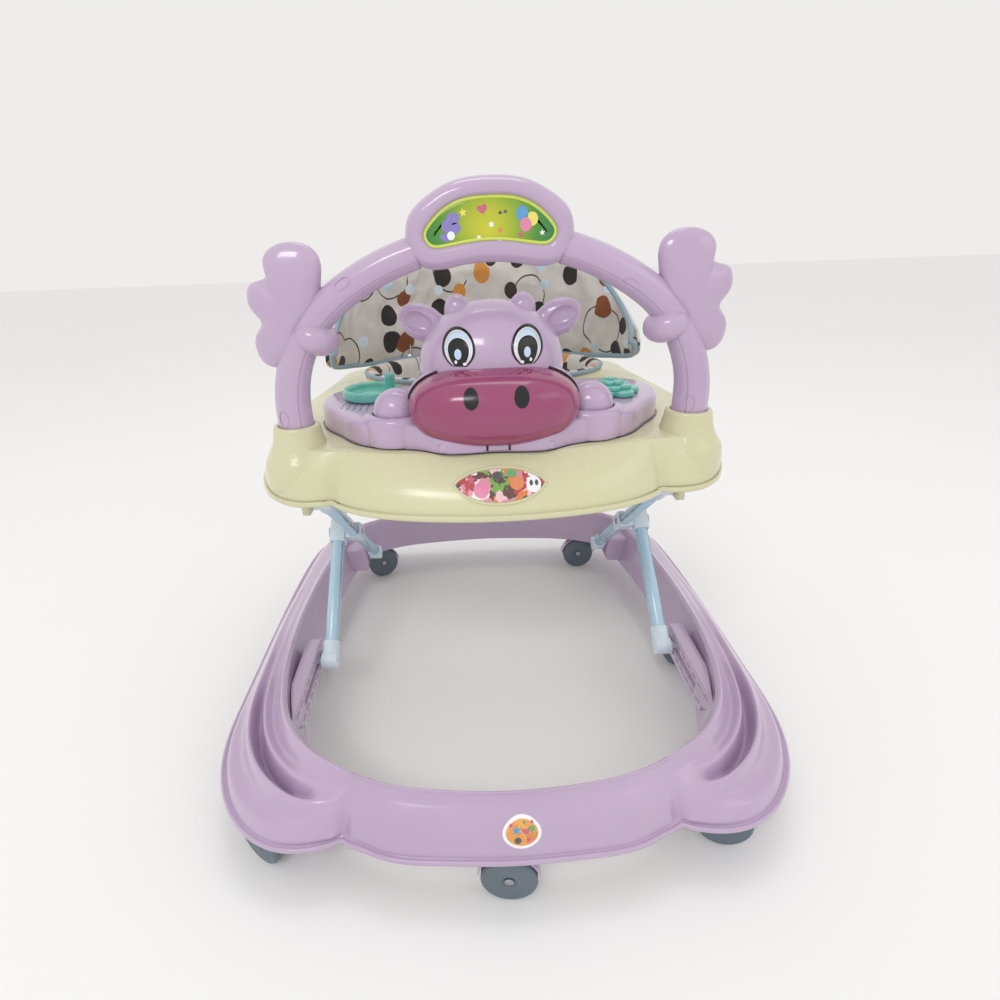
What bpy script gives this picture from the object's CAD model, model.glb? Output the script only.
"""Looks of the baby walker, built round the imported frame."""

import math

import bmesh
import bpy
import numpy as np
from mathutils import Matrix, Vector, noise


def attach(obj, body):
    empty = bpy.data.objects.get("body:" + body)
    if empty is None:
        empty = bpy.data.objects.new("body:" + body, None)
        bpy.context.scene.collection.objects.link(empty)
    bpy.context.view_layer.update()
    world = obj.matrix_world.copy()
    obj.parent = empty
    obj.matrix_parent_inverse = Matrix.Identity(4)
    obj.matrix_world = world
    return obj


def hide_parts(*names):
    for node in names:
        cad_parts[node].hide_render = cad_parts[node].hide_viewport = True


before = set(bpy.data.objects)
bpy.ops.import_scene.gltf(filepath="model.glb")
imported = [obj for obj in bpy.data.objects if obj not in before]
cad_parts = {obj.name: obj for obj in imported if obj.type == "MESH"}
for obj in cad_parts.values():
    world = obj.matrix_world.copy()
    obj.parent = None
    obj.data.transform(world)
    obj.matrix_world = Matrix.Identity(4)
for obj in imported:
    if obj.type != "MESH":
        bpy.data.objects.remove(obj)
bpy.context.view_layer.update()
MM = 0.001
TAU = 2 * math.pi
BASE, TRAY = "base", "tray"
SIDES = (("left", -1), ("right", 1))


# ---------------------------------------------------------------- materials

def lin(text):
    """Linear RGBA of an sRGB hex colour."""
    out = []
    for i in (0, 2, 4):
        c = int(text[i:i + 2], 16) / 255
        out.append(c / 12.92 if c <= 0.04045 else ((c + 0.055) / 1.055) ** 2.4)
    return (*out, 1.0)


class Shade:
    """A small builder for one node material."""

    def __init__(self, name, **sockets):
        self.mat = bpy.data.materials.new(name)
        self.mat.use_nodes = True
        self.tree = self.mat.node_tree
        self.bsdf = self.tree.nodes["Principled BSDF"]
        for key, value in sockets.items():
            self.bsdf.inputs[key.replace("_", " ")].default_value = value
        self.where = self.add("ShaderNodeTexCoord").outputs["Object"]

    def add(self, kind, **props):
        node = self.tree.nodes.new(kind)
        for key, value in props.items():
            setattr(node, key, value)
        return node

    def wire(self, source, socket):
        if isinstance(source, bpy.types.NodeSocket):
            self.tree.links.new(source, socket)
        else:
            socket.default_value = source

    def noise(self, scale, detail=2.0, rough=0.5, where=None):
        node = self.add("ShaderNodeTexNoise")
        self.wire(where or self.where, node.inputs["Vector"])
        node.inputs["Scale"].default_value = scale
        node.inputs["Detail"].default_value = detail
        node.inputs["Roughness"].default_value = rough
        return node.outputs["Fac"]

    def voronoi(self, scale, where=None, feature="F1", out="Distance", random=1.0, dims="3D"):
        node = self.add("ShaderNodeTexVoronoi", feature=feature, voronoi_dimensions=dims)
        self.wire(where or self.where, node.inputs["Vector"])
        node.inputs["Scale"].default_value = scale
        node.inputs["Randomness"].default_value = random
        return node.outputs[out]

    def wave(self, scale, axis="X", distort=0.0, where=None):
        node = self.add("ShaderNodeTexWave", bands_direction=axis)
        self.wire(where or self.where, node.inputs["Vector"])
        node.inputs["Scale"].default_value = scale
        node.inputs["Distortion"].default_value = distort
        return node.outputs["Fac"]

    def math(self, op, a, b=0.0, c=0.0):
        node = self.add("ShaderNodeMath", operation=op)
        for value, socket in zip((a, b, c), node.inputs):
            self.wire(value, socket)
        return node.outputs[0]

    def fit(self, value, low, high, to_low, to_high):
        node = self.add("ShaderNodeMapRange")
        for key, v in zip(("Value", "From Min", "From Max", "To Min", "To Max"),
                          (value, low, high, to_low, to_high)):
            self.wire(v, node.inputs[key])
        return node.outputs["Result"]

    def mix(self, share, a, b):
        node = self.add("ShaderNodeMix", data_type="RGBA")
        self.wire(share, node.inputs["Factor"])
        self.wire(a, node.inputs["A"])
        self.wire(b, node.inputs["B"])
        return node.outputs["Result"]

    def ramp(self, value, stops, hard=False):
        node = self.add("ShaderNodeValToRGB")
        self.wire(value, node.inputs["Fac"])
        bar = node.color_ramp
        bar.interpolation = "CONSTANT" if hard else "LINEAR"
        while len(bar.elements) < len(stops):
            bar.elements.new(0.5)
        for element, (place, colour) in zip(bar.elements, stops):
            element.position = place
            element.color = lin(colour)
        return node.outputs["Color"]

    def parts(self, where=None):
        node = self.add("ShaderNodeSeparateXYZ")
        self.wire(where or self.where, node.inputs[0])
        return node.outputs[0], node.outputs[1], node.outputs[2]

    def vector(self, x, y, z=0.0):
        node = self.add("ShaderNodeCombineXYZ")
        for value, socket in zip((x, y, z), node.inputs):
            self.wire(value, socket)
        return node.outputs[0]

    def colour(self, value):
        self.wire(value, self.bsdf.inputs["Base Color"])

    def roughness(self, value):
        self.wire(value, self.bsdf.inputs["Roughness"])

    def bump(self, height, strength=0.1, distance=0.0005, after=None):
        node = self.add("ShaderNodeBump")
        node.inputs["Strength"].default_value = strength
        node.inputs["Distance"].default_value = distance
        self.wire(height, node.inputs["Height"])
        if after:
            self.wire(after, node.inputs["Normal"])
        self.wire(node.outputs["Normal"], self.bsdf.inputs["Normal"])
        return node.outputs["Normal"]


def moulded(name, colour, shade, light, rough=0.2, grain=0.04, **sockets):
    """Moulded plastic: slow colour drift, faint scuffs, orange peel."""
    s = Shade(name, **sockets)
    drift = s.noise(7, 3, 0.55)
    base = s.mix(s.fit(drift, 0.3, 0.7, 0.0, 1.0), lin(shade), lin(light))
    speck = s.noise(420, 2)
    s.colour(s.mix(s.fit(speck, 0.35, 0.75, 0.5, 0.8), base, lin(colour)))
    scuff = s.noise(60, 5, 0.7)
    s.roughness(s.fit(scuff, 0.35, 0.75, rough * 0.75, rough * 1.5))
    flow = s.bump(s.noise(12, 1), 0.05, 0.0012)
    s.bump(s.noise(900, 2), grain, 0.0002, flow)
    return s.mat


LILAC = moulded("lilac", "BFA8C6", "B59CBB", "C9B4CF", 0.2, Coat_Weight=0.6, Coat_Roughness=0.06)
CREAM = moulded("cream", "D5D3AE", "CFCDA4", "DAD8B6", 0.24, Coat_Weight=0.25, Coat_Roughness=0.1)
SNOUT = moulded("snout", "98406A", "8A3358", "A54E77", 0.18, Coat_Weight=0.6, Coat_Roughness=0.05)
MINT = moulded("mint", "6CC2B2", "59AE9F", "7BD0C0", 0.22, Coat_Weight=0.3, Coat_Roughness=0.1)
WHITE = moulded("white", "DCEAF5", "CFE0EE", "E8F3FB", 0.3, 0.08)
WHEEL = moulded("wheel", "626F79", "57646D", "6D7A85", 0.42, 0.14)
BLACK = moulded("black", "09090A", "050506", "0E0E10", 0.22, 0.02, Coat_Weight=0.15)
EYE_WHITE = moulded("eye_white", "F2F4F8", "E8ECF4", "FBFCFF", 0.2, Coat_Weight=0.4)
EYE_BLUE = moulded("eye_blue", "C6DEF4", "B5D2EE", "D6E8FA", 0.2, Coat_Weight=0.4)
RUBBER = moulded("rubber", "141416", "0E0E10", "1C1C1E", 0.6, 0.2)


def enamel():
    s = Shade("enamel", Coat_Weight=0.5, Coat_Roughness=0.08)
    s.colour(s.mix(s.noise(9, 4, 0.6), lin("A9CDE6"), lin("C4DFF2")))
    s.roughness(s.fit(s.noise(80, 5, 0.7), 0.3, 0.8, 0.16, 0.36))
    s.bump(s.noise(600, 3), 0.08, 0.0002)
    return s.mat


def steel():
    s = Shade("steel", Metallic=1.0)
    stretched = s.add("ShaderNodeMapping")
    stretched.inputs["Scale"].default_value = (1, 1, 14)
    s.wire(s.where, stretched.inputs["Vector"])
    s.colour(s.mix(s.noise(500, 4, 0.6, stretched.outputs[0]), lin("8E9196"), lin("C3C6CA")))
    s.roughness(s.fit(s.noise(300, 4, 0.6), 0.3, 0.7, 0.22, 0.45))
    s.bump(s.noise(900, 2, 0.5, stretched.outputs[0]), 0.12, 0.0002)
    return s.mat


def printed(name, stops, scale, rough=0.25):
    """Printed film: hard-edged patches of a few inks."""
    s = Shade(name, Coat_Weight=0.4, Coat_Roughness=0.1)
    bent = s.add("ShaderNodeMix", data_type="VECTOR")
    bent.inputs["Factor"].default_value = 0.018
    s.wire(s.where, bent.inputs["A"])
    swirl = s.add("ShaderNodeTexNoise")
    swirl.inputs["Scale"].default_value = 120
    s.wire(s.where, swirl.inputs["Vector"])
    s.wire(swirl.outputs["Color"], bent.inputs["B"])
    cell = s.voronoi(scale, bent.outputs["Result"], out="Color")
    ink = s.ramp(s.parts(cell)[0], stops, hard=True)
    s.colour(s.mix(s.fit(s.noise(1500, 2), 0.4, 0.7, 0.0, 0.12), ink, lin("FFFFFF")))
    s.roughness(s.fit(s.noise(70, 3), 0.3, 0.7, rough * 0.8, rough * 1.3))
    s.bump(s.noise(700, 2), 0.04, 0.0002)
    return s.mat


def picture_paint():
    """Green field that lightens to yellow in the middle of the panel."""
    s = Shade("picture", Coat_Weight=0.6, Coat_Roughness=0.06)
    x, _, z = s.parts()
    middle_x, middle_z, half_width, half_height = -0.002, 0.535, 0.052, 0.055
    across = s.math("MULTIPLY", s.math("SUBTRACT", x, middle_x), 1 / half_width)
    up = s.math("MULTIPLY", s.math("SUBTRACT", z, middle_z), 1 / half_height)
    radius = s.math("SQRT", s.math("ADD", s.math("POWER", s.math("ABSOLUTE", across), 2.0),
                                   s.math("POWER", s.math("ABSOLUTE", up), 2.0)))
    worn = s.math("ADD", radius, s.math("MULTIPLY", s.math("SUBTRACT", s.noise(70, 3), 0.5), 0.16))
    field = s.ramp(worn, [(0.0, "CFCB16"), (0.28, "B4BE12"), (0.5, "88AA14"),
                          (0.72, "3C8F20"), (0.95, "0A7A38"), (1.0, "087235")])
    s.colour(s.mix(s.fit(s.noise(1400, 2), 0.4, 0.7, 0.0, 0.1), field, lin("E8F0A0")))
    s.roughness(s.fit(s.noise(50, 3), 0.3, 0.7, 0.12, 0.24))
    s.bump(s.noise(30, 2), 0.05, 0.0004)
    return s.mat


def cloth_print():
    """Off-white cotton with scattered oval balloons and thin loops, laid out on the
    cloth's own flat coordinates (metres)."""
    s = Shade("printed_cloth", Sheen_Weight=0.25, Sheen_Roughness=0.5)
    flat = s.add("ShaderNodeUVMap", uv_map="flat").outputs["UV"]
    u, v, _ = s.parts(flat)
    stain = s.noise(22, 2, 0.5, flat)
    look = s.mix(s.fit(stain, 0.3, 0.7, 0, 1), lin("C9C4BE"), lin("DAD6D0"))
    layers = (
        # cells a metre, stretch, radius, ring width or 0, share shown, inks, offset
        (16, 0.8, 0.36, 0.012, 0.8, [(0.0, "1D1715"), (0.5, "2A2320")], (0.013, 0.021)),
        (30, 0.8, 0.31, 0, 0.72, [(0.0, "0B0A0A"), (0.36, "2E1D1C"), (0.56, "D28C36"),
                                  (0.74, "84431A"), (0.86, "0B0A0A")], (0.0, 0.0)),
        (30, 1.0, 0.2, 0, 0.16, [(0.0, "C2D8E6"), (0.5, "D2E4EE")], (0.037, 0.011)),
    )
    for scale, stretch, radius, ring, shown, inks, (du, dv) in layers:
        where = s.vector(s.math("ADD", u, du), s.math("MULTIPLY", s.math("ADD", v, dv), stretch))
        distance = s.voronoi(scale, where, random=0.72, dims="2D")
        cell = s.voronoi(scale, where, out="Color", random=0.72, dims="2D")
        red, green, blue = s.parts(cell)
        size = s.math("MULTIPLY", radius, s.fit(green, 0, 1, 0.78, 1.12))
        if ring:
            gap = s.math("ABSOLUTE", s.math("SUBTRACT", distance, size))
            inside = s.math("LESS_THAN", gap, ring)
        else:
            inside = s.math("LESS_THAN", distance, size)
        here = s.math("MULTIPLY", inside, s.math("LESS_THAN", blue, shown))
        ink = s.ramp(red, inks, hard=True)
        look = s.mix(here, look, ink)
    thread_u = s.wave(620, "X", 0, flat)
    thread_v = s.wave(620, "Y", 0, flat)
    weave = s.math("MULTIPLY", thread_u, thread_v)
    s.colour(s.mix(s.fit(weave, 0, 1, 0.10, 0.0), look, lin("8C857E")))
    s.roughness(s.fit(s.noise(90, 3), 0.3, 0.7, 0.78, 0.95))
    fold = s.bump(s.noise(38, 3, 0.55, flat), 0.3, 0.002)
    s.bump(weave, 0.25, 0.0003, fold)
    return s.mat


def woven(name, dark, light, scale=700):
    s = Shade(name, Sheen_Weight=0.3, Sheen_Roughness=0.5)
    thread = s.math("MULTIPLY", s.wave(scale, "DIAGONAL"), s.wave(scale, "Z"))
    s.colour(s.mix(s.math("ADD", s.math("MULTIPLY", thread, 0.6),
                          s.math("MULTIPLY", s.noise(60, 3), 0.4)), lin(dark), lin(light)))
    s.roughness(s.fit(s.noise(90, 3), 0.3, 0.7, 0.75, 0.95))
    s.bump(thread, 0.3, 0.0003)
    return s.mat


def tinted(name, colour):
    """Printed ink of one colour with a fine screen grain."""
    s = Shade(name, Coat_Weight=0.5, Coat_Roughness=0.08)
    s.colour(s.mix(s.fit(s.noise(1600, 2), 0.35, 0.75, 0.0, 0.22), lin(colour), lin("FFFFFF")))
    s.roughness(s.fit(s.noise(60, 3), 0.3, 0.7, 0.16, 0.28))
    return s.mat


ENAMEL, STEEL = enamel(), steel()
PICTURE, CLOTH = picture_paint(), cloth_print()
PIPING = woven("piping", "7D93A4", "A6BAC8")
SCREEN_INKS = [(0.0, "B8283A"), (0.13, "F0C2CC"), (0.27, "5A2A18"), (0.4, "E07A28"),
               (0.53, "F4F0E8"), (0.66, "6EA83A"), (0.8, "D88A9C"), (0.92, "2A2A2E")]
TRAY_STICKER = printed("tray_sticker", SCREEN_INKS, 130)
BASE_STICKER = printed("base_sticker", [(0.0, "E89A3C"), (0.6, "F0A848"), (0.84, "D9862C")], 160)
BOARD = printed("board", [(0.0, "1E6B3A"), (0.6, "24774A"), (0.9, "C8A850")], 240, 0.4)
BATTERY = printed("battery", [(0.0, "26507E"), (0.5, "2E5C8C"), (0.85, "C9CDD2")], 60)
SPEAKER = moulded("speaker", "161617", "101011", "1E1E20", 0.55, 0.2)
LIME = tinted("lime", "CBDD30")
INKS = {key: tinted(f"ink_{key}", value) for key, value in {
    "violet": "7A6CC0", "blue": "2F94CF", "pink": "E277A4", "yellow": "EFE04A", "red": "C93A6B",
    "white": "F4F6FA", "black": "1A1A1A", "green": "47A046", "orange": "E07A2C"}.items()}

# the record's slot of a material that goes with one slot only
USUAL_SLOT = {
    LILAC.name: "lilac_plastic", CREAM.name: "cream_plastic", MINT.name: "turquoise_plastic",
    SNOUT.name: "snout_pink", PICTURE.name: "picture_card", LIME.name: "picture_card",
    CLOTH.name: "printed_cloth", BASE_STICKER.name: "base_sticker", TRAY_STICKER.name: "tray_sticker",
}


# ---------------------------------------------------------------- mesh helpers

def new_object(name, data):
    obj = bpy.data.objects.new(name, data)
    bpy.context.scene.collection.objects.link(obj)
    return obj


def dress(obj, material, body=None, slot=None, smooth=True):
    """Gives a piece its material and shading and, with a body, its slot and its ride."""
    obj.data.materials.clear()
    obj.data.materials.append(material)
    for polygon in obj.data.polygons:
        polygon.use_smooth = smooth
    slot = slot or USUAL_SLOT.get(material.name)
    if body:
        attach(obj, body)
    return obj


def add_mesh(name, verts, faces, material, body, slot=None, smooth=True):
    mesh = bpy.data.meshes.new(name)
    mesh.from_pydata([tuple(v) for v in verts], [], faces)
    obj = new_object(name, mesh)
    shell = bmesh.new()
    shell.from_mesh(mesh)
    bmesh.ops.remove_doubles(shell, verts=shell.verts, dist=1e-6)
    bmesh.ops.recalc_face_normals(shell, faces=shell.faces)
    shell.to_mesh(mesh)
    shell.free()
    return dress(obj, material, body, slot, smooth)


def grid_faces(rows, columns, wrap_rows=False, wrap_columns=True):
    faces = []
    for r in range(rows if wrap_rows else rows - 1):
        for c in range(columns if wrap_columns else columns - 1):
            a = r * columns + c
            b = r * columns + (c + 1) % columns
            below = ((r + 1) % rows) * columns
            faces.append((a, b, below + (c + 1) % columns, below + c))
    return faces


def add_grid(name, rows, material, body, wrap_rows=False, wrap_columns=True, caps=False):
    """A surface through rows of points in metres. Caps close the first and last row."""
    rows = np.asarray(rows, float)
    count, width = rows.shape[:2]
    faces = grid_faces(count, width, wrap_rows, wrap_columns)
    if caps:
        faces.append(tuple(range(width))[::-1])
        faces.append(tuple((count - 1) * width + i for i in range(width)))
    return add_mesh(name, rows.reshape(-1, 3), faces, material, body)


def loop_curve(points, count=None, params=None):
    """Smooth closed curve through points: periodic cubic spline by chord length.
    Returns its points at index parameters."""
    p = np.asarray(points, float)
    n = len(p)
    chord = np.linalg.norm(np.roll(p, -1, 0) - p, axis=1)
    a = np.zeros((n, n))
    for i in range(n):
        h0, h1 = chord[i - 1], chord[i]
        a[i, i - 1] += h0
        a[i, i] += 2 * (h0 + h1)
        a[i, (i + 1) % n] += h1
    ahead = (np.roll(p, -1, 0) - p) / chord[:, None]
    behind = np.roll(ahead, 1, 0)
    m = np.linalg.solve(a, 6 * (ahead - behind))
    t = np.linspace(0, n, count, endpoint=False) if params is None else np.asarray(params, float)
    i = np.floor(t).astype(int) % n
    f = t - np.floor(t)
    j = (i + 1) % n
    h = chord[i][:, None]
    f = f[:, None]
    return ((1 - f) * p[i] + f * p[j]
            + h * h / 6 * (((1 - f) ** 3 - (1 - f)) * m[i] + (f ** 3 - f) * m[j]))


def even_params(points, count):
    """Index parameters that are evenly spaced along the loop's length."""
    fine = np.linspace(0, len(points), 4001)
    line = loop_curve(points, params=fine[:-1])
    step = np.linalg.norm(np.roll(line, -1, 0) - line, axis=1)
    length = np.concatenate([[0], np.cumsum(step)])
    return np.interp(np.linspace(0, length[-1], count, endpoint=False), length, fine)


def smooth_line(xs, ys, at):
    """Smooth interpolation through (xs, ys) without overshoot."""
    xs, ys, at = (np.asarray(v, float) for v in (xs, ys, at))
    slope = np.diff(ys) / np.diff(xs)
    tangent = np.zeros(len(xs))
    for k in range(1, len(xs) - 1):
        if slope[k - 1] * slope[k] > 0:
            tangent[k] = 2 / (1 / slope[k - 1] + 1 / slope[k])
    tangent[0], tangent[-1] = slope[0], slope[-1]
    k = np.clip(np.searchsorted(xs, at) - 1, 0, len(xs) - 2)
    h = xs[k + 1] - xs[k]
    f = (at - xs[k]) / h
    return ((2 * f ** 3 - 3 * f ** 2 + 1) * ys[k] + (f ** 3 - 2 * f ** 2 + f) * h * tangent[k]
            + (3 * f ** 2 - 2 * f ** 3) * ys[k + 1] + (f ** 3 - f ** 2) * h * tangent[k + 1])


def mirrored(half):
    return half + [(-x, y) for x, y in reversed(half[1:-1])]


def outward(loop):
    """Unit outward normals of a level anticlockwise loop."""
    run = np.roll(loop, -1, 0) - np.roll(loop, 1, 0)
    n = np.stack([run[:, 1], -run[:, 0]], 1)
    return n / np.linalg.norm(n, axis=1)[:, None]


def level(loop, z):
    z = np.broadcast_to(np.asarray(z, float), (len(loop),))
    return np.column_stack([loop, z])


def steady_normals(path, closed=False):
    """Two normals at each point of a path that turn no more than the path does."""
    if closed:
        t = np.roll(path, -1, 0) - np.roll(path, 1, 0)
    else:
        t = np.gradient(path, axis=0)
    t /= np.linalg.norm(t, axis=1)[:, None]
    normal = np.zeros_like(path)
    first = np.cross(t[0], (0, 0, 1) if abs(t[0][2]) < 0.9 else (0, 1, 0))
    normal[0] = first / np.linalg.norm(first)
    for i in range(1, len(path)):
        n = normal[i - 1] - t[i] * np.dot(normal[i - 1], t[i])
        normal[i] = n / np.linalg.norm(n)
    return normal, np.cross(t, normal)


def circle(sides, radius=1.0):
    """Points of a circle, anticlockwise from +X."""
    angles = np.linspace(0, TAU, sides, endpoint=False)
    return radius * np.column_stack([np.cos(angles), np.sin(angles)])


def add_tube(name, path, radius, material, body, closed=False, sides=12):
    """A round bead along a path of points, all in millimetres."""
    path = np.array(path) * MM
    rows = []
    for point, *pair in zip(path, *steady_normals(path, closed)):
        rows.append(point + circle(sides, radius * MM) @ np.array(pair))
    return add_grid(name, rows, material, body, wrap_rows=closed, caps=not closed)


def add_lathe(name, profile, place, material, body, sides=64):
    """A (radius, height) profile in millimetres turned about the local Z of place."""
    rows = [[tuple(place @ Vector((x, y, height * MM)))
             for x, y in circle(sides, max(radius, 0.001) * MM)] for radius, height in profile]
    return add_grid(name, rows, material, body, caps=True)


def rounded(profile, radius=1.0, steps=3):
    """Rounds the inner corners of an open (radius, height) profile."""
    out = [profile[0]]
    for a, b, c in zip(profile, profile[1:], profile[2:]):
        a, b, c = (np.asarray(v, float) for v in (a, b, c))
        la, lc = np.linalg.norm(a - b), np.linalg.norm(c - b)
        r = min(radius, 0.45 * la, 0.45 * lc)
        start, end = b + (a - b) / la * r, b + (c - b) / lc * r
        for k in range(steps + 1):
            f = k / steps
            out.append(tuple((1 - f) ** 2 * start + 2 * f * (1 - f) * b + f * f * end))
    out.append(profile[-1])
    return out


def shift(x, y, z, turn=0.0, axis="Z"):
    return Matrix.Translation((x * MM, y * MM, z * MM)) @ Matrix.Rotation(turn, 4, axis)


def ball(name, centre, halves, turn=None, rings=24, sides=40):
    """An ellipsoid, sized in millimetres, as a loose object to merge or to cut with."""
    mesh = bpy.data.meshes.new(name)
    made = bmesh.new()
    bmesh.ops.create_uvsphere(made, u_segments=sides, v_segments=rings, radius=1)
    grow = Matrix.Diagonal((*[h * MM for h in halves], 1))
    place = Matrix.Translation(Vector(centre) * MM) @ (turn or Matrix.Identity(4)) @ grow
    bmesh.ops.transform(made, matrix=place, verts=made.verts)
    made.to_mesh(mesh)
    made.free()
    return new_object(name, mesh)


def reskin(obj, voxel):
    remesh = obj.modifiers.new("skin", "REMESH")
    remesh.mode = "VOXEL"
    remesh.voxel_size = voxel * MM


def apply_modifiers(obj):
    graph = bpy.context.evaluated_depsgraph_get()
    mesh = bpy.data.meshes.new_from_object(obj.evaluated_get(graph), depsgraph=graph)
    obj.modifiers.clear()
    old = obj.data
    obj.data = mesh
    bpy.data.meshes.remove(old)


def cut(obj, tools):
    """Cuts the tools out of a piece and removes them."""
    for tool in tools:
        hole = obj.modifiers.new("hole", "BOOLEAN")
        hole.operation = "DIFFERENCE"
        hole.object = tool
    apply_modifiers(obj)
    for tool in tools:
        bpy.data.objects.remove(tool)


def melt(name, objects, voxel, material, body, smooth=5, holes=()):
    """Joins overlapping closed forms into one skin with soft junctions."""
    verts, faces, start = [], [], 0
    for obj in objects:
        verts += [v.co.copy() for v in obj.data.vertices]
        faces += [tuple(start + i for i in p.vertices) for p in obj.data.polygons]
        start = len(verts)
        bpy.data.objects.remove(obj)
    mesh = bpy.data.meshes.new(name)
    mesh.from_pydata([tuple(v) for v in verts], [], faces)
    obj = new_object(name, mesh)
    reskin(obj, voxel)
    soft = obj.modifiers.new("soft", "SMOOTH")
    soft.factor = 0.5
    soft.iterations = smooth
    cut(obj, holes)
    return dress(obj, material, body)


def thicken(obj, thickness, offset=-1.0):
    wall = obj.modifiers.new("wall", "SOLIDIFY")
    wall.thickness = thickness * MM
    wall.offset = offset
    wall.use_even_offset = False
    return obj


def bevelled(obj, width, segments=2):
    edge = obj.modifiers.new("edge", "BEVEL")
    edge.width = width * MM
    edge.segments = segments
    edge.limit_method = "ANGLE"
    edge.angle_limit = math.radians(35)
    edge.harden_normals = False
    return obj


def add_box(name, low, high, material, body, bevel):
    x0, y0, z0 = (v * MM for v in low)
    x1, y1, z1 = (v * MM for v in high)
    verts = [(x, y, z) for z in (z0, z1) for y in (y0, y1) for x in (x0, x1)]
    faces = [(0, 1, 3, 2), (4, 6, 7, 5), (0, 4, 5, 1), (2, 3, 7, 6), (0, 2, 6, 4), (1, 5, 7, 3)]
    return bevelled(add_mesh(name, verts, faces, material, body), bevel, 3)


def close_rings(obj):
    """Closes every open ring of a piece with one face."""
    mesh = bmesh.new()
    mesh.from_mesh(obj.data)
    bmesh.ops.holes_fill(mesh, edges=[e for e in mesh.edges if e.is_boundary], sides=0)
    bmesh.ops.recalc_face_normals(mesh, faces=mesh.faces)
    mesh.to_mesh(obj.data)
    mesh.free()


# ---------------------------------------------------------------- base ring

RIM = mirrored([
    (0, -318), (63, -315), (116, -306), (150, -294), (172, -297), (205, -296),
    (232, -284), (256, -262), (277, -228), (289, -190), (294, -110), (294, 0),
    (292, 120), (287, 200), (268, 267), (220, 304), (120, 314), (0, 316),
])
RIDGE = mirrored([
    (0, -288), (60, -284), (105, -275), (138, -262), (158, -249), (176, -236),
    (193, -219), (206, -201), (217, -178), (226, -146), (234, -95), (237, -10),
    (230, 95), (221, 160), (203, 216), (160, 244), (85, 258), (0, 263),
])
SHARES = (0.0, 0.10, 0.22, 0.29, 0.41, 0.53, 0.645, 0.76, 0.86, 0.935, 1.0)
# heights of the wall above the floor at SHARES: the plain wall, and what differs from it
# at some points of RIM, counted from the middle of the front
PLAIN = (58.5, 65, 76, 82, 89, 92.5, 95.5, 98.5, 104, 109, 105.5)
RELIEF = {
    3: (58.5, 66, 77, 82, 88, 92, 95, 98.5, 104.5, 109, 105.5),
    4: (58.5, 70, 80, 83, 88, 91, 94.5, 98, 104, 109, 105.5),
    5: (58.5, 70, 74, 75.5, 88, 78, 95, 96, 103, 109.5, 105.5),
    6: (58.5, 71, 71.5, 75, 91, 70, 96.5, 93, 102, 110, 105.5),
    7: (58.5, 71, 71.5, 75.5, 92, 69, 97.5, 92, 102, 110, 105.5),
    8: (58.5, 71, 72, 76.5, 92.5, 71, 98, 92.5, 102, 110, 105.5),
    9: (58.5, 71, 74, 78.5, 92.5, 77, 98, 94, 102.5, 110, 105.5),
    10: (58.5, 70, 79, 83, 91, 88, 98, 98, 104, 109, 105.5),
    11: (58.5, 70, 80, 85, 91, 93, 97, 99.5, 104.5, 109, 105.5),
}
CORNER_X = 150  # the upright crease between the bumper's middle and its corners
WALL = 2.6


def crease_at(loop, x, front):
    """How near each point of a loop is to the two creases of the front, 0 to 1."""
    return np.exp(-((np.abs(loop[:, 0]) - x) / 5.0) ** 2) * (loop[:, 1] < front)


def base_ring():
    count, steps = 720, 54
    params = even_params(RIM, count)
    outer = loop_curve(RIM, params=params)
    inner = loop_curve(RIDGE, params=params)
    normal = outward(outer)
    half = len(RIM) // 2
    index = np.where(params <= half, params, len(RIM) - params)
    before = np.clip(np.floor(index).astype(int), 0, half - 1)
    f = (index - before)[:, None]
    f = f * f * (3 - 2 * f)
    table = np.array([RELIEF.get(i, PLAIN) for i in range(half + 1)])
    heights = (1 - f) * table[before] + f * table[before + 1]

    corner = crease_at(outer, CORNER_X, -250)
    outer = outer - normal * (corner * 3.5)[:, None]
    foot = inner.copy()
    foot[:, 0] -= np.clip(foot[:, 0], -11, 11) * (inner[:, 1] > -200)
    # the rolled lower edge, then the wall, then the step down inside the ring
    rows = [level(outer - normal * inset, z) for inset, z in (
        (3.2, 53), (0.8, 53), (0, 53.8), (0, 57.2), (0.8, 58), (2.4, 58), (3.3, 57), (4.4, 57),
        (4.9, 58.2))]
    width = np.linalg.norm(inner - outer, axis=1)
    start = 5.0 / width
    fine = np.linspace(0, 1, steps) ** 0.92
    profile = np.empty((count, steps))
    for k in range(count):
        profile[k] = smooth_line(SHARES, heights[k], fine)
    for j in range(steps):
        share = (start + (1 - start) * fine[j])[:, None]
        notch = (corner * 2.2 * (1 - fine[j]))[:, None]
        rows.append(level(outer + (inner - outer) * share - normal * notch, profile[:, j]))
    for share, z in ((0.0, 103.5), (0.06, 100), (0.3, 88), (0.6, 73), (0.88, 59), (0.97, 55),
                     (1.0, 53.4)):
        rows.append(level(inner + (foot - inner) * share, z))
    ring = add_grid("base_ring", np.array(rows) * MM, LILAC, BASE)
    thicken(ring, WALL)
    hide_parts("base_shell")


base_ring()
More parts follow.
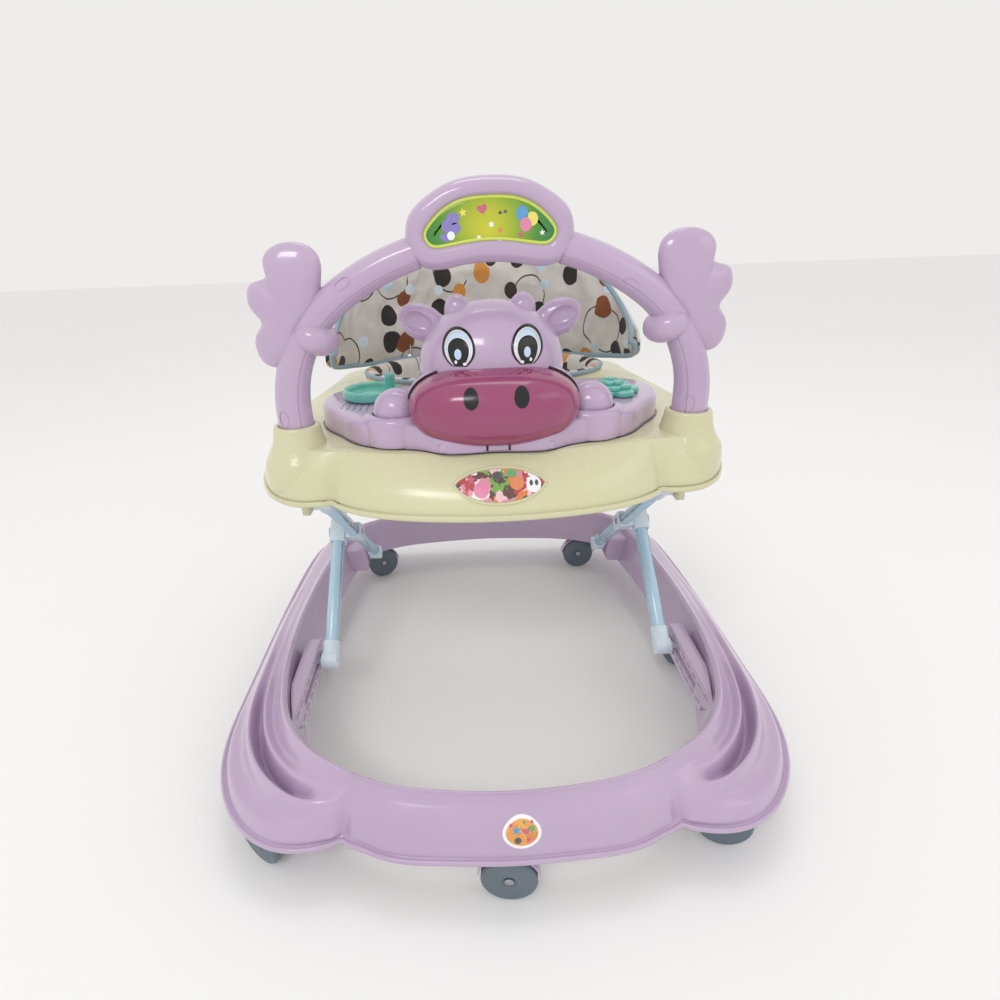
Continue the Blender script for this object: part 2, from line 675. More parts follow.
# x, y and heading of the seven caster stems
STEMS = {
    "front_centre": (9, -297, -6), "front_left": (-216, -258, -35), "front_right": (216, -258, -14),
    "side_left": (-263, -8, -90), "side_right": (263, -8, -12), "rear_left": (-172, 262, 25),
    "rear_right": (172, 262, 0),
}
for name, (x, y, heading) in STEMS.items():
    socket = rounded([(4.1, 54), (7.4, 54), (8.4, 56), (8.4, 66), (4.1, 67)], 0.8)
    add_lathe(f"stem_socket_{name}", socket, shift(x, y, 0), LILAC, BASE, sides=32)
    for k in range(3):
        web = add_box(f"stem_web_{name}_{k}", (8, -1, 56), (15, 1, 63), LILAC, None, bevel=0.5)
        web.matrix_world = shift(x, y, 0, math.radians(heading) + k * TAU / 3)
        dress(web, LILAC, BASE)
for side, sign in SIDES:
    x0, x1 = sorted((sign * 188, sign * 226))
    add_box(f"foot_block_{side}", (x0, 162, 57), (x1, 204, 98), LILAC, BASE, bevel=5)


# ---------------------------------------------------------------- casters

AXLE_BACK, AXLE_HIGH = 12, 25  # the wheel's axle from its stem and above the floor
HOOD_SHIFT = 10.8  # the hood's profile is drawn from its open side
HOOD = ((27.3, 3.4), (27.3, 1.5), (27.3, -7), (26.8, -9.5), (24.5, -11.8), (20, -12.6),
        (18.5, -11.8), (16, -11.8), (14.8, -13.0), (9, -13.6), (8, -12.8), (5.4, -12.8),
        (4.6, -13.8), (0, -14.1))
FORK = ((2.6, -3.2), (9, -3.2), (11.4, -2.4), (11.4, -0.6), (2.6, -0.6))
STEM = ((0, 30), (7.6, 30), (7.6, 51.6), (6.6, 52.6), (3.95, 52.8), (3.95, 70.8), (3.2, 71.6),
        (0, 71.8))


def caster(name, x, y, heading):
    """A stepped half-round hood over the wheel, with its fork and stem."""
    body = f"caster_swivel_{name}"
    place = shift(x, y, 0, math.radians(heading))
    # local Z points to -Y, the open side of the hood
    side_on = place @ shift(-AXLE_BACK, 0, AXLE_HIGH, math.pi / 2, "X")
    angles = np.linspace(math.radians(4), math.radians(176), 49)
    rows = []
    for radius, depth in rounded(HOOD, 0.8):
        r = max(radius, 0.01) * MM
        rows.append([tuple(side_on @ Vector((r * math.cos(a), r * math.sin(a),
                                             (depth + HOOD_SHIFT) * MM))) for a in angles])
    hood = add_grid(f"hood_{name}", rows, LILAC, body, wrap_columns=False)
    thicken(hood, 1.4, 0.0)
    bevelled(hood, 0.4)
    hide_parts(f"caster_hood_{name}")
    add_lathe(f"fork_{name}", rounded(FORK, 0.6), side_on, LILAC, body, sides=40)
    add_lathe(f"stem_{name}", rounded(STEM, 0.5), place, LILAC, body, sides=32)


for name, (x, y, heading) in STEMS.items():
    caster(name, x, y, heading)


# ---------------------------------------------------------------- tray

TRAY_RIM = mirrored([
    (0, -198), (55, -194), (105, -182), (136, -165), (151, -155), (172, -154), (203, -137),
    (223, -104), (235, -59), (234, 0), (227, 60), (221, 115), (217, 170), (211, 218),
    (188, 247), (100, 256), (0, 258),
])
TRAY_CREASE_X = 149
TRAY_EDGE = mirrored([
    (0, -157), (52, -155), (98, -148), (126, -142), (142, -138), (160, -135), (183, -122),
    (201, -96), (211, -57), (210, 0), (203, 58), (196, 110), (190, 162), (184, 200),
    (165, 223), (92, 231), (0, 233),
])
DECK = 362
SEAT_Y, SEAT_X, SEAT_DEPTH = 112, 138, 78  # the seat opening: its middle and two half sizes
ARCH_Y, HALF = -111, 180  # plane of the arch, and half its span
ARCH_SOCKET = ((18.5, 326), (34, 326), (33.8, 340), (33, 347), (31, 351.5), (28, 355.5), (25, 361),
               (22.8, 368), (21.5, 375), (21, 379), (19.6, 380.8), (17.0, 380.8), (16.15, 380.0),
               (16.15, 352))


def ellipse(angles, rx, ry, middle=SEAT_Y):
    return np.column_stack([rx * np.cos(angles), middle + ry * np.sin(angles)])


def tray():
    count = 600
    params = even_params(TRAY_RIM, count)
    rim = loop_curve(TRAY_RIM, params=params)
    edge = loop_curve(TRAY_EDGE, params=params)
    n = outward(rim)
    # the notch between the middle and the corner lobes is a crease
    crease = crease_at(rim, TRAY_CREASE_X, -120)
    rim = rim + np.column_stack([np.zeros(count), crease * 4.2])
    # the rolled lower edge, the sloping skirt, the flat deck, then the collar round the seat
    rows = [level(rim - n * inset, z) for inset, z in (
        (4, 315), (0.8, 315), (0, 315.8), (0, 319.2), (0.7, 320), (1.8, 320), (2.3, 319.2),
        (3.0, 319.2), (3.4, 320.2))]
    for share, z in ((0.08, 322), (0.13, 326), (0.18, 330), (0.24, 334), (0.32, 338.5), (0.42, 343),
                     (0.53, 347.4), (0.65, 351.6), (0.76, 355.2), (0.86, 358.4), (0.93, 360.4),
                     (0.975, 361.6), (1.0, DECK)):
        rows.append(level(rim + (edge - rim) * share, z - crease * (1 - share) * 4.5))
    angle = np.arctan2(edge[:, 1] - SEAT_Y, edge[:, 0])
    ring_out = ellipse(angle, SEAT_X + 13, SEAT_DEPTH + 13)
    for share in (0.05, 0.25, 0.5, 0.75, 0.93, 0.98):
        rows.append(level(edge + (ring_out - edge) * share, DECK))
    for grow, z in ((13.4, 362.4), (12.9, 364), (12.4, 370), (11.4, 374.6), (9.0, 377.3), (6.5, 378),
                    (3.6, 377.6), (1.2, 376), (0.4, 373), (0.3, 364), (0.3, 352), (0.4, 350)):
        rows.append(level(ellipse(angle, SEAT_X + grow, SEAT_DEPTH + grow), z))
    top = add_grid("tray_shell", np.array(rows) * MM, CREAM, TRAY)
    thicken(top, WALL)
    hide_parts("tray_top")
    for side, sign in SIDES:
        place = shift(sign * HALF, ARCH_Y, 0)
        add_lathe(f"arch_socket_{side}", rounded(ARCH_SOCKET, 1.2), place, CREAM, TRAY, sides=72)
        add_lathe(f"socket_tube_{side}", [(16.1, 354), (19, 354), (19, 362), (16.1, 362)], place,
                  CREAM, TRAY, sides=48)


tray()


# ---------------------------------------------------------------- arch

# a tight arc over each post and a wide one between them, which meet tangent at JOINT
SPRING, RISE, TIGHT, TUBE = 392, 136, 115, 16
WIDE = (2 * HALF * TIGHT - HALF ** 2 - RISE ** 2) / (2 * TIGHT - 2 * RISE)
TIGHT_C = (HALF - TIGHT, SPRING)
WIDE_C = (0, SPRING + RISE - WIDE)
JOINT = math.atan2(TIGHT_C[1] - WIDE_C[1], TIGHT_C[0])


def arch_point(angle_or_height):
    """A point of the right arch centreline: below zero a height under the spring
    line, else an angle over the two arcs."""
    a = angle_or_height
    if a < 0:
        return HALF, SPRING + a
    if a < JOINT:
        return TIGHT_C[0] + TIGHT * math.cos(a), TIGHT_C[1] + TIGHT * math.sin(a)
    return WIDE_C[0] + WIDE * math.cos(a), WIDE_C[1] + WIDE * math.sin(a)


def slimming(z):
    """The tube grows slimmer from the spring line to the crown."""
    return 1 - 0.2 * min(1.0, max(0.0, (z - SPRING) / RISE))


def seamed_section():
    """Angles and radii round the tube, with a fine groove at each of the two seams."""
    section = []
    for seam in (math.radians(-32), math.radians(148)):
        for off in (-90, -60, -45, -30, -18, -9, -4, -2.6, -1.4, 0, 1.4, 2.6, 4, 9, 18, 30, 45, 60):
            groove = 0.9 if off == 0 else 0.5 if abs(off) < 2 else 0.0
            section.append(((seam + math.radians(off)) % TAU, TUBE - groove))
    return np.array(sorted(section)).T[:, :, None]


def arch_half(side, sign, front=np.array([0, -1.0, 0])):
    end = math.acos((PANEL_HALF - 8) / WIDE)
    stops = list(np.linspace(-36, -1, 14)) + list(np.linspace(0, end, 110))
    path = np.array([(sign * x, ARCH_Y, z) for x, z in map(arch_point, stops)])
    angles, radii = seamed_section()
    rows = []
    for point, ahead in zip(path, np.gradient(path, axis=0)):
        inside = np.cross(ahead / np.linalg.norm(ahead), front) * sign
        rows.append(point + slimming(point[2]) * radii * (np.cos(angles) * front
                                                          + np.sin(angles) * inside))
    tube = add_grid(f"arch_tube_{side}", np.array(rows) * MM, LILAC, TRAY, caps=True)
    if side == "left":
        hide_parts("arch_front_shells", "arch_rear_shells")
    # outlines of two snap-in plugs on the front of the tube
    for k, stop in enumerate((-3.0, 1.02)):
        (x, z), (next_x, next_z) = arch_point(stop), arch_point(stop + 0.01)
        along = np.array([sign * (next_x - x), 0, next_z - z])
        along /= np.linalg.norm(along)
        girth = TUBE * slimming(z)
        ring = []
        for a in np.linspace(0, TAU, 48, endpoint=False):
            tilt = (4.6 * math.sin(a) - 6.5) / TUBE
            ring.append(np.array([sign * x, ARCH_Y, z])
                        + along * 7.2 * math.copysign(abs(math.cos(a)) ** 0.8, math.cos(a))
                        + np.cross(along, front) * girth * math.sin(tilt)
                        + front * girth * math.cos(tilt))
        add_tube(f"plug_{side}_{k}", ring, 0.45, LILAC, TRAY, closed=True, sides=6)


PANEL_HALF = 68  # half the width of the bean-shaped panel
for side, sign in SIDES:
    arch_half(side, sign)

KIDNEY = mirrored([(0, 573), (28.6, 569.8), (50.3, 559.5), (64.6, 546), (PANEL_HALF, 532),
                   (61.9, 513), (44.9, 506), (24.5, 508.5), (0, 510.5)])
OPENING = mirrored([(0, 558.5), (22, 556.5), (37, 550), (47.5, 541), (52.7, 531.5),
                    (48.5, 524.3), (37, 523), (18, 525.8), (0, 527)])


def spine_of(loop, half, z):
    """For each point of a loop, the nearest point of a level line inside it."""
    return np.column_stack([np.clip(loop[:, 0], -half, half), np.full(len(loop), z)])


def kidney(inset):
    """The bean outline of the panel, moved inwards towards its spine."""
    loop = loop_curve(KIDNEY, 240)
    spine = spine_of(loop, 35, 539)
    far = np.linalg.norm(loop - spine, axis=1)
    return loop + (spine - loop) * np.minimum(inset / far, 0.97)[:, None]


def opening(grow=None):
    """The outline of the picture opening, moved outwards, or else its core."""
    loop = loop_curve(OPENING, 240)
    if grow is not None:
        return loop - outward(loop) * grow
    spine = spine_of(loop, 38, 540)
    return spine + (loop - spine) * 0.03


def upright(loop, y):
    return np.column_stack([loop[:, 0], np.full(len(loop), float(y)), loop[:, 1]])


def arch_panel():
    front, back = ARCH_Y - 15, ARCH_Y + 15
    rows = [upright(kidney(inset), y) for inset, y in (
        (28, back), (12, back), (8, back - 0.8), (4.5, back - 2.6), (2, back - 6), (0.5, back - 10),
        (0, ARCH_Y), (0.5, front + 10), (2, front + 5.6), (4.4, front + 2.4), (7.2, front + 0.6))]
    rows += [upright(opening(grow), front + depth) for grow, depth in (
        (4.2, 0), (2.4, 0.5), (1.2, 1.4), (0.5, 2.4), (0.2, 3.6), (0, 4.4))]
    frame_ring = add_grid("panel_frame", np.array(rows) * MM, LILAC, TRAY)
    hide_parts("arch_panel")
    rows = [upright(kidney(inset), back + lift) for inset, lift in (
        (60, 1.0), (28, 1.0), (14, 1.0), (11.6, 0.6), (11.2, -0.4))]
    cover = add_grid("panel_rear_cover", np.array(rows) * MM, LILAC, TRAY)
    close_rings(cover)
    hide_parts("arch_panel_back")
    # the picture and its lime border
    rows = [upright(opening(grow), FIELD_Y + depth) for grow, depth in (
        (-1.9, 0.4), (-2, 0), (-3.5, -0.2), (-6, -0.25), (-9, -0.25), (None, -0.25))]
    field = add_grid("picture_field", np.array(rows) * MM, PICTURE, TRAY)
    close_rings(field)
    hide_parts("panel_picture")
    rows = [upright(opening(grow), FIELD_Y + depth) for grow, depth in (
        (0.3, 0), (0, -0.5), (-0.9, -0.6), (-1.8, -0.5), (-2.3, 0.1))]
    add_grid("picture_border", np.array(rows) * MM, LIME, TRAY)


FIELD_Y = ARCH_Y - 11.6  # plane of the picture
arch_panel()


# small flat figures ------------------------------------------------------------

def disc(rx, ry=None, count=24):
    ry = ry or rx
    return [(rx * math.cos(a), ry * math.sin(a)) for a in np.linspace(0, TAU, count, endpoint=False)]


def star(radius, points=5, inner=0.45):
    spots = []
    for k in range(2 * points):
        r = radius * inner if k % 2 else radius
        spots.append((r * math.sin(math.pi * k / points), r * math.cos(math.pi * k / points)))
    return spots


def heart(size):
    pts = []
    for a in np.linspace(0, TAU, 32, endpoint=False):
        x = 16 * math.sin(a) ** 3
        y = 13 * math.cos(a) - 5 * math.cos(2 * a) - 2 * math.cos(3 * a) - math.cos(4 * a)
        pts.append((x * size / 17, y * size / 17))
    return pts


def figure(name, outline, place, ink, slot, body=TRAY, thick=0.18):
    """A thin raised print: outline points (mm) put on a surface by place(x, z)."""
    count = len(outline)
    centre = np.mean(np.array(outline), axis=0)
    top, under = [], []
    rings = (1.0, 0.85, 0.7, 0.55, 0.4, 0.25, 0.1)
    for share in rings:
        for x, z in outline:
            px, pz = centre[0] + (x - centre[0]) * share, centre[1] + (z - centre[1]) * share
            spot, normal = place(px, pz)
            top.append(np.asarray(spot) + np.asarray(normal) * thick)
            if share == 1.0:
                under.append(np.asarray(spot) - np.asarray(normal) * 0.3)
    verts = under + top
    faces = grid_faces(len(rings) + 1, count)
    faces.append(tuple(len(verts) - count + i for i in range(count)))
    return add_mesh(name, np.array(verts) * MM, faces, ink, body, slot, smooth=False)


def on_panel(cx, cz, turn=0.0):
    c, s = math.cos(turn), math.sin(turn)

    def place(x, z):
        return (cx + c * x - s * z, FIELD_Y - 0.3, cz + s * x + c * z), (0, -1, 0)
    return place


PICTURES = (
    ("heart", heart(4.2), (-6, 549), 0.25, "red"),
    ("star_a", star(3.4), (-21, 547), 0.2, "yellow"),
    ("balloon_a", disc(4.8, 5.4), (25, 545), 0.0, "blue"),
    ("balloon_b", disc(4.6, 5.0), (33, 541), 0, "yellow"),
    ("balloon_c", disc(4.6, 5.0), (28, 537), 0, "pink"),
    ("star_b", star(2.4), (41, 531), 0.1, "white"),
    ("flower_a", star(2.4, 6, 0.6), (1, 538), 0, "white"),
    ("flower_b", star(2.2, 6, 0.6), (8, 534), 0.3, "orange"),
    ("flower_c", star(2.0, 6, 0.6), (-9, 529), 0.4, "white"),
    ("flower_d", star(2.2, 6, 0.6), (8, 526), 0, "white"),
    ("flower_e", star(1.8, 6, 0.6), (0, 525), 0, "orange"),
    ("flower_f", star(2.2, 6, 0.6), (24, 530), 0, "red"),
    ("note_a", disc(1.4, 1.1), (8, 546), 0, "black"),
    ("note_b", disc(1.4, 1.1), (12, 546.6), 0, "black"),
    ("note_c", disc(1.3, 1.0), (17, 527), 0, "green"),
    ("cloud_a", disc(5.4, 4.2), (-29, 543), 0.1, "violet"),
    ("cloud_b", disc(4.2, 4.6), (-34, 538), 0.0, "violet"),
    ("cloud_c", disc(5.0, 4.0), (-28, 536), 0.3, "violet"),
    ("drum_a", disc(3.0, 3.2), (-31, 531), 0, "white"),
    ("drum_b", disc(4.6, 3.0), (-35, 530), -0.2, "violet"),
)
for label, outline, (x, z), turn, ink in PICTURES:
    lift = 0.22 if label in ("balloon_c", "drum_a", "cloud_b") else 0.14
    figure(f"print_{label}", outline, on_panel(x, z, turn), INKS[ink], "picture_card", thick=lift)


# side toys ------------------------------------------------------------------------

WING = ((160, 531), (147, 528), (140, 521), (140, 502), (146, 480), (160, 462), (169, 444), (178, 435),
        (187, 432), (198, 436), (203, 448), (201, 460), (195, 470), (201, 480), (203, 490), (198, 501),
        (185, 506), (185, 517), (176, 528))


def wing(side, sign):
    """A flat three-lobed plate with a soft rounded edge."""
    loop = loop_curve(np.array(WING) * (sign, 1), 240)
    middle = np.array([sign * 170, 478])
    rows = []
    for share, y in ((0.05, -13), (0.2, -12.9), (0.35, -12.5), (0.5, -11.8), (0.63, -10.6), (0.75, -9),
                     (0.85, -7.2), (0.92, -5.4), (0.97, -3.4), (0.993, -1.6), (1.0, 0), (0.993, 1.6),
                     (0.97, 3.4), (0.92, 5.4), (0.85, 7.2), (0.75, 9), (0.63, 10.6), (0.5, 11.8),
                     (0.35, 12.5), (0.2, 12.9), (0.05, 13)):
        rows.append(upright(middle + (loop - middle) * share, ARCH_Y + y))
    plate = add_grid(f"wing_{side}", np.array(rows) * MM, LILAC, TRAY, caps=True)
    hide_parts(f"side_toy_{side}")


for side, sign in SIDES:
    wing(side, sign)
    knob = [ball("knob", (sign * 151, ARCH_Y, 456), (20, 20.5, 15),
                 Matrix.Rotation(-sign * math.radians(20), 4, "Y"))]
    melt(f"grip_{side}", knob, 1.5, LILAC, TRAY, 5)


# ---------------------------------------------------------------- activity panel

TOY = mirrored([
    (0, -158), (48, -157), (64, -147), (98, -137), (127, -119), (143, -97), (160, -74),
    (171, -40), (166, -8), (146, 10), (110, 15), (70, 14), (0, 13),
])


def toy_panel():
    loop = loop_curve(TOY, params=even_params(TOY, 360))
    n = outward(loop)
    rows = [level(loop - n * 2.0, 361.2), level(loop - n * 0.2, 361.2), level(loop, 363),
            level(loop - n * 0.2, 378)]
    for k in range(7):
        a = k / 6 * math.pi / 2
        rows.append(level(loop - n * (0.2 + 5 * (1 - math.cos(a))), 379 + 5 * math.sin(a)))
    centre = np.array([0.0, -70.0])
    for share in (0.1, 0.3, 0.55, 0.8, 0.97):
        rows.append(level((loop - n * 5.4) * (1 - share) + centre * share, 384))
    shell = add_grid("panel_shell", np.array(rows) * MM, LILAC, TRAY)
    close_rings(shell)
    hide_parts("toy_panel")
    add_tube("panel_gap", level(loop + n, 362.4), 0.5, BLACK, TRAY, closed=True, sides=6)


toy_panel()
BUTTON_X, BUTTON_Y = 88, -112
DOME_RADIUS, DOME_FOOT, DOME_RISE = 20.8, 389, 21
PAW = ((0, 363), (31, 363), (30.6, 385.0), (28.6, 388.2), (23.0, 389), (21.6, 388.4), (21.4, 379.6),
       (0, 379.4))
DOME = [(0, 383.4), (20.5, 383.4), (DOME_RADIUS, DOME_FOOT)]
for k in range(1, 13):
    a = k / 12 * math.pi / 2
    DOME.append((DOME_RADIUS * math.cos(a), DOME_FOOT + DOME_RISE * math.sin(a)))
for side, sign in SIDES:
    place = shift(sign * BUTTON_X, BUTTON_Y, 0)
    add_lathe(f"paw_{side}", rounded(PAW, 1.6), place, LILAC, TRAY, sides=72)
    cap = add_lathe(f"dome_{side}", DOME, place, LILAC, f"button_{side}")
    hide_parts(f"dome_button_{side}")

# dial with a raised rim and a knob
PANEL_TOP = 384.5
DIAL = shift(-120, -38, PANEL_TOP)
DISH = ((3.05, 0), (27, 0), (29, 2), (29, 8), (27.4, 10), (24, 10), (22.4, 8.6), (21.6, 4.4), (12, 4),
        (8, 5.6), (5, 6.2), (3.05, 6.2))
KNOB = ((0, 3), (6.6, 3), (5.6, 6), (5.3, 15), (5.5, 18.4), (4.4, 21), (2.4, 22.2), (0, 22.4))
dish = add_lathe("dial_dish", rounded(DISH, 1.0), DIAL, MINT, "dial")
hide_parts("toy_dial")
add_lathe("dial_knob", rounded(KNOB, 1.2), DIAL @ shift(18, 11, 0), MINT, "dial", sides=40)
for k, (x, y) in enumerate(circle(12, 25.6)):
    add_lathe(f"dial_rib_{k}", [(0, 9), (1.3, 9), (1.0, 10.5), (0, 10.8)], DIAL @ shift(x, y, 0),
              MINT, "dial", sides=12)

# stepped star-like spinner
SPIN = shift(120, -56, PANEL_TOP)


def petal_rows(radius, depth, low, high, turn, lobes=6):
    angles = np.linspace(0, TAU, 144, endpoint=False)
    petals = np.abs(np.cos(lobes * (angles - turn) / 2)) ** 0.7
    outline = radius * (1 - depth + depth * petals)
    return [[tuple(SPIN @ Vector((r * math.cos(a) * MM, r * math.sin(a) * MM, z * MM)))
             for r, a in zip(outline + grow, angles)]
            for grow, z in ((-1.2, low), (0, low + 0.8), (0, high - 1.2), (-0.5, high - 0.3),
                            (-1.4, high))]


for k, shape in enumerate(((28.5, 0.30, 0, 5, 0.0), (21, 0.32, 4.6, 9, 0.5), (13, 0.3, 8.6, 12.4, 0.1))):
    tier = add_grid(f"spinner_tier_{k}", petal_rows(*shape), MINT, "spinner", caps=True)
    if k == 0:
        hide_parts("toy_spinner")
hub = rounded([(0, 12), (4.2, 12), (3.8, 14.4), (0, 15.2)], 0.8)
add_lathe("spinner_hub", hub, SPIN, MINT, "spinner", sides=32)

# loudspeaker holes
for row in range(4):
    for column in range(6):
        x, y = -113 - 6.4 * column, -88 + 6 * row + 1.4 * column
        if (row, column) in ((0, 5), (3, 0)):
            continue
        add_lathe(f"sound_hole_{row}_{column}", [(0, 384.0), (1.15, 384.0), (1.0, 384.14), (0, 384.1)],
                  shift(x, y, 0), BLACK, TRAY, sides=12)


# ---------------------------------------------------------------- cow

HEAD, HEAD_SIZE = np.array([0.0, -88, 424]), np.array([66.0, 50, 56])
SNOUT_MID, SNOUT_SIZE = np.array([0.0, -137, 396]), np.array([74.0, 36, 35])


def cow_head():
    """A shell of two halves that meet in a fine groove over the crown."""
    rows = []
    split = -0.10
    stops = list(np.linspace(-0.985, split - 0.03, 26)) + [split - 0.012, split, split + 0.012]
    stops += list(np.linspace(split + 0.03, 0.985, 30))
    angles = np.linspace(0, TAU, 96, endpoint=False)
    for s in stops:
        r = math.sqrt(1 - s * s) - (0.012 if s == split else 0.0)
        rows.append([(HEAD[0] + HEAD_SIZE[0] * r * math.cos(a), HEAD[1] + HEAD_SIZE[1] * s,
                      HEAD[2] + HEAD_SIZE[2] * r * math.sin(a)) for a in angles])
    points = np.array(rows)
    points[..., 2] = np.maximum(points[..., 2], 384.6)
    head = add_grid("cow_skull", points * MM, LILAC, TRAY, caps=True)
    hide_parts("cow_head")
    for side, sign in SIDES:
        droop = Matrix.Rotation(-sign * math.radians(26), 4, "Y")
        ear = [ball("ear", (sign * 61, -80, 461), (23, 10, 16), droop),
               ball("ear_root", (sign * 50, -80, 456), (14, 9.5, 13))]
        dish = ball("dish", (sign * 65, -91.5, 462.5), (15.5, 9, 10), droop)
        melt(f"cow_ear_{side}", ear, 1.3, LILAC, TRAY, 5, holes=[dish])
        horn = [ball("horn", (sign * 28, -88, 468), (12.5, 11.5, 17.5),
                     Matrix.Rotation(sign * math.radians(10), 4, "Y"))]
        melt(f"cow_horn_{side}", horn, 1.3, LILAC, TRAY, 4)


def snout_outline(inset=0.0, count=160):
    """Wide rounded bar with flat top and bottom."""
    pts = []
    hx, hz = SNOUT_SIZE[0] + 1 - inset, SNOUT_SIZE[2] + 0.5 - inset
    for a in np.linspace(0, TAU, count, endpoint=False):
        c, s = math.cos(a), math.sin(a)
        x = hx * math.copysign(abs(c) ** (2 / 2.5), c)
        z = hz * math.copysign(abs(s) ** (2 / 2.35), s)
        # the top edge is straighter than the bottom one
        pts.append((x, SNOUT_MID[2] + z * (1.0 if z < 0 else 0.96)))
    return np.array(pts)


def snout_skin(x, z):
    """Front of the snout at (x, z) and its normal."""
    def y_at(x, z):
        u = abs(x) / (SNOUT_SIZE[0] + 1)
        w = abs(z - SNOUT_MID[2]) / (SNOUT_SIZE[2] + 0.5) / (0.96 if z > SNOUT_MID[2] else 1.0)
        r = min(1.0, (u ** 2.5 + w ** 2.35) ** (1 / 2.4))
        return SNOUT_MID[1] + 14 - 49.5 * (1 - r ** 2.5) ** (1 / 2.5)
    e = 0.4
    y = y_at(x, z)
    normal = np.array([(y_at(x + e, z) - y_at(x - e, z)) / (2 * e), -1,
                       (y_at(x, z + e) - y_at(x, z - e)) / (2 * e)])
    return np.array([x, y, z]), normal / np.linalg.norm(normal)


def snout():
    outline = snout_outline()
    centre = np.array([0, SNOUT_MID[2]])
    rows = [upright(outline, SNOUT_MID[1] + 15.5), upright(outline, SNOUT_MID[1] + 14)]
    near_edge = 0.9999 - 0.055 * np.linspace(0, 1, 12)[1:] ** 2
    for r in (*near_edge, *np.linspace(0.93, 0.04, 40)):
        ring = centre + (outline - centre) * r
        rows.append(np.array([snout_skin(x, z)[0] for x, z in ring]))
    skin = add_grid("cow_snout_skin", np.array(rows) * MM, SNOUT, TRAY)
    close_rings(skin)
    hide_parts("cow_snout")
    rim = upright(snout_outline(-0.6), SNOUT_MID[1] + 15.8)
    add_tube("snout_gap", rim, 1.1, BLACK, TRAY, closed=True, sides=8)
    points = np.array([upright(snout_outline(inset), SNOUT_MID[1] + back) for inset, back in (
        (-0.4, 40), (-1.8, 38), (-2.4, 22), (-1.6, 17.5), (0.4, 16.6))])
    points[..., 2] = np.clip(points[..., 2], 363.4, None)
    add_grid("snout_frame", points * MM, LILAC, TRAY)
    add_box("chin_bar", (-50, -159, 362.6), (50, -128, 371), LILAC, TRAY, bevel=2.5)
    for k, x in enumerate((-8, 11)):
        add_box(f"chin_slot_{k}", (x - 1, -159.4, 364), (x + 1, -150, 371.4), BLACK, TRAY, bevel=0.3)


def head_skin(x, z):
    u, w = (x - HEAD[0]) / HEAD_SIZE[0], (z - HEAD[2]) / HEAD_SIZE[2]
    y = HEAD[1] - HEAD_SIZE[1] * math.sqrt(max(0.0001, 1 - u * u - w * w))
    normal = np.array([u / HEAD_SIZE[0], (y - HEAD[1]) / HEAD_SIZE[1] ** 2, w / HEAD_SIZE[2]])
    return np.array([x, y, z]), normal / np.linalg.norm(normal)


def eye_outline(rx, up, down, count=48):
    """Upright oval with a flat foot."""
    pts = []
    for a in np.linspace(0, TAU, count, endpoint=False):
        x, z = rx * math.cos(a), math.sin(a)
        z = z * up if z > 0 else z * down * 1.15
        x *= 1.0 if z > 0 else 1 - 0.16 * min(1, -z / down) ** 2
        pts.append((x, max(z, -down)))
    return pts


def moved(surface, cx, cz):
    """The same surface, measured from the point (cx, cz)."""
    return lambda x, z: surface(cx + x, cz + z)


def eyes():
    for side, sign in SIDES:
        cx, cz = sign * 29, 444
        layers = (("outline", eye_outline(14.0, 17.6, 13.2), 0, 0, BLACK, 0.25),
                  ("white", eye_outline(11.9, 15.2, 12.6), 0, 0, EYE_WHITE, 0.40),
                  ("blue", eye_outline(10.6, 13.8, 6), 0, 0.4, EYE_BLUE, 0.50),
                  ("glow", eye_outline(10.2, 9.6, 12.4), 0, 0, EYE_WHITE, 0.60),
                  ("pupil", eye_outline(8.8, 9.0, 12.4), 0, 0, BLACK, 0.75),
                  ("light", disc(2.9, 4.2), -0.5, -3.6, EYE_BLUE, 0.92),
                  ("spark", disc(1.1, 1.5), sign * 2.4, -9.6, EYE_WHITE, 0.95),
                  ("glint", disc(1.6, 1.2), -sign * 5, -11.0, EYE_WHITE, 0.90))
        for label, outline, dx, dz, ink, thick in layers:
            slot = "decal_black" if ink is BLACK else None
            layer = figure(f"eye_{label}_{side}", outline, moved(head_skin, cx + dx, cz + dz), ink,
                           slot, thick=thick)
            dress(layer, ink)
            if (side, label) == ("left", "outline"):
                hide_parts("face_decals")
        figure(f"nostril_{side}", disc(6.1, 8.2, 40), moved(snout_skin, sign * 20.5, 411.5), BLACK,
               "decal_black", thick=0.3)


cow_head()
snout()
eyes()


# ---------------------------------------------------------------- stickers

def wall_of(node):
    """A function for where a line from the front meets a piece, and the normal there."""
    def hit(x, z):
        graph = bpy.context.evaluated_depsgraph_get()
        found, spot, normal, _ = bpy.data.objects[node].evaluated_get(graph).ray_cast(
            Vector((x * MM, -0.6, z * MM)), Vector((0, 1, 0)))
        if not found:
            raise RuntimeError(f"no wall of {node} at {x}, {z}")
        return np.array(spot) / MM, np.array(normal)
    return hit


bpy.context.view_layer.update()
BADGE = moved(wall_of("base_ring"), 7, 79)
white = figure("badge_ring", disc(16.4, 13.9, 64), BADGE, INKS["white"], "base_sticker", BASE, 0.3)
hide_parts("base_badge")
figure("badge_disc", disc(13.6, 11.3, 64), BADGE, BASE_STICKER, "base_sticker", BASE, 0.45)
for k, (outline, x, z, ink) in enumerate((
        (star(4.2), -4.5, 2.5, "blue"), (heart(3.6), 3.4, 1.5, "red"),
        (star(3.6, 6, 0.6), 8.2, 3.5, "green"), (disc(3.0), -3.5, -6.5, "black"),
        (star(2.6), 5.4, -6.2, "red"), (disc(1.4), -9, 7, "red"),
        (disc(1.2), 2, 9, "green"), (disc(1.2), 8.5, 9, "red"))):
    figure(f"badge_mark_{k}", outline, moved(BADGE, x, z), INKS[ink], "base_sticker", BASE, 0.6)


